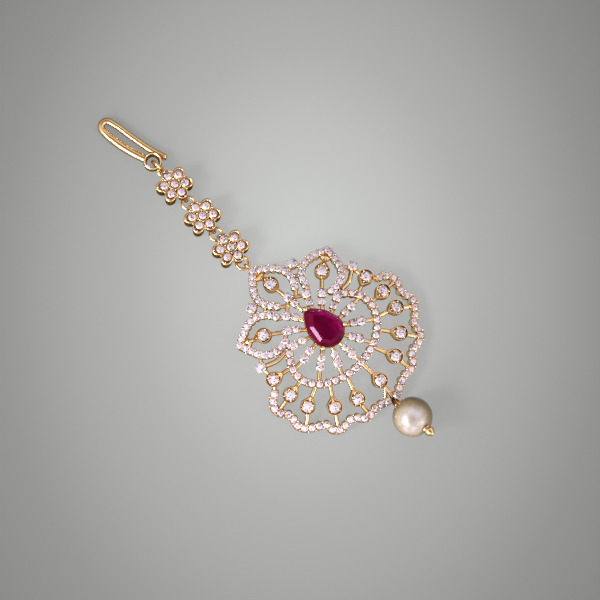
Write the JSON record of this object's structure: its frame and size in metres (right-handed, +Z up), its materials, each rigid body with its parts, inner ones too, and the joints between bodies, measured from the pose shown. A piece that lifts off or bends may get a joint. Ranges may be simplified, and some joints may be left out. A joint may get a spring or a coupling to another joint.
{
  "type": "maang tikka",
  "caption": "Gold maang tikka with a hair hook, a flower link chain, an openwork lotus pendant paved in clear stones, a red pear stone and a pearl drop.",
  "frame": {"origin": "on the floor under the middle of the jewel's whole length and width, as it lies face up", "axes": "+Y runs along the pendant's middle from the pearl towards the hook, +X across the pendant to its right, +Z up out of its face"},
  "size_m": [0.0377, 0.0926, 0.0082],
  "materials": {
    "gold": "polished gold plate",
    "crystal": "clear brilliant cut",
    "ruby": "deep red pear cut",
    "pearl": "champagne pearl lustre"
  },
  "bodies": {
    "root": {"drop_stone_1": "crystal", "drop_stone_10": "crystal", "drop_stone_11": "crystal", "drop_stone_12": "crystal", "drop_stone_13": "crystal", "drop_stone_14": "crystal", "drop_stone_2": "crystal", "drop_stone_3": "crystal", "drop_stone_4": "crystal", "drop_stone_5": "crystal", "drop_stone_6": "crystal", "drop_stone_7": "crystal", "drop_stone_8": "crystal", "drop_stone_9": "crystal", "flower_link_1": "gold", "flower_link_2": "gold", "flower_link_3": "gold", "flower_stones_1": "crystal", "flower_stones_2": "crystal", "flower_stones_3": "crystal", "hair_hook": "gold", "head_pin": "gold", "jump_ring_1": "gold", "jump_ring_2": "gold", "jump_ring_3": "gold", "jump_ring_4": "gold", "notch_stone_1": "crystal", "notch_stone_2": "crystal", "notch_stone_3": "crystal", "notch_stone_4": "crystal", "pearl": "pearl", "pendant_frame": "gold", "ray_stones_1": "crystal", "ray_stones_10": "crystal", "ray_stones_11": "crystal", "ray_stones_12": "crystal", "ray_stones_13": "crystal", "ray_stones_14": "crystal", "ray_stones_2": "crystal", "ray_stones_3": "crystal", "ray_stones_4": "crystal", "ray_stones_5": "crystal", "ray_stones_6": "crystal", "ray_stones_7": "crystal", "ray_stones_8": "crystal", "ray_stones_9": "crystal", "ruby": "ruby"}
  },
  "joints": []
}
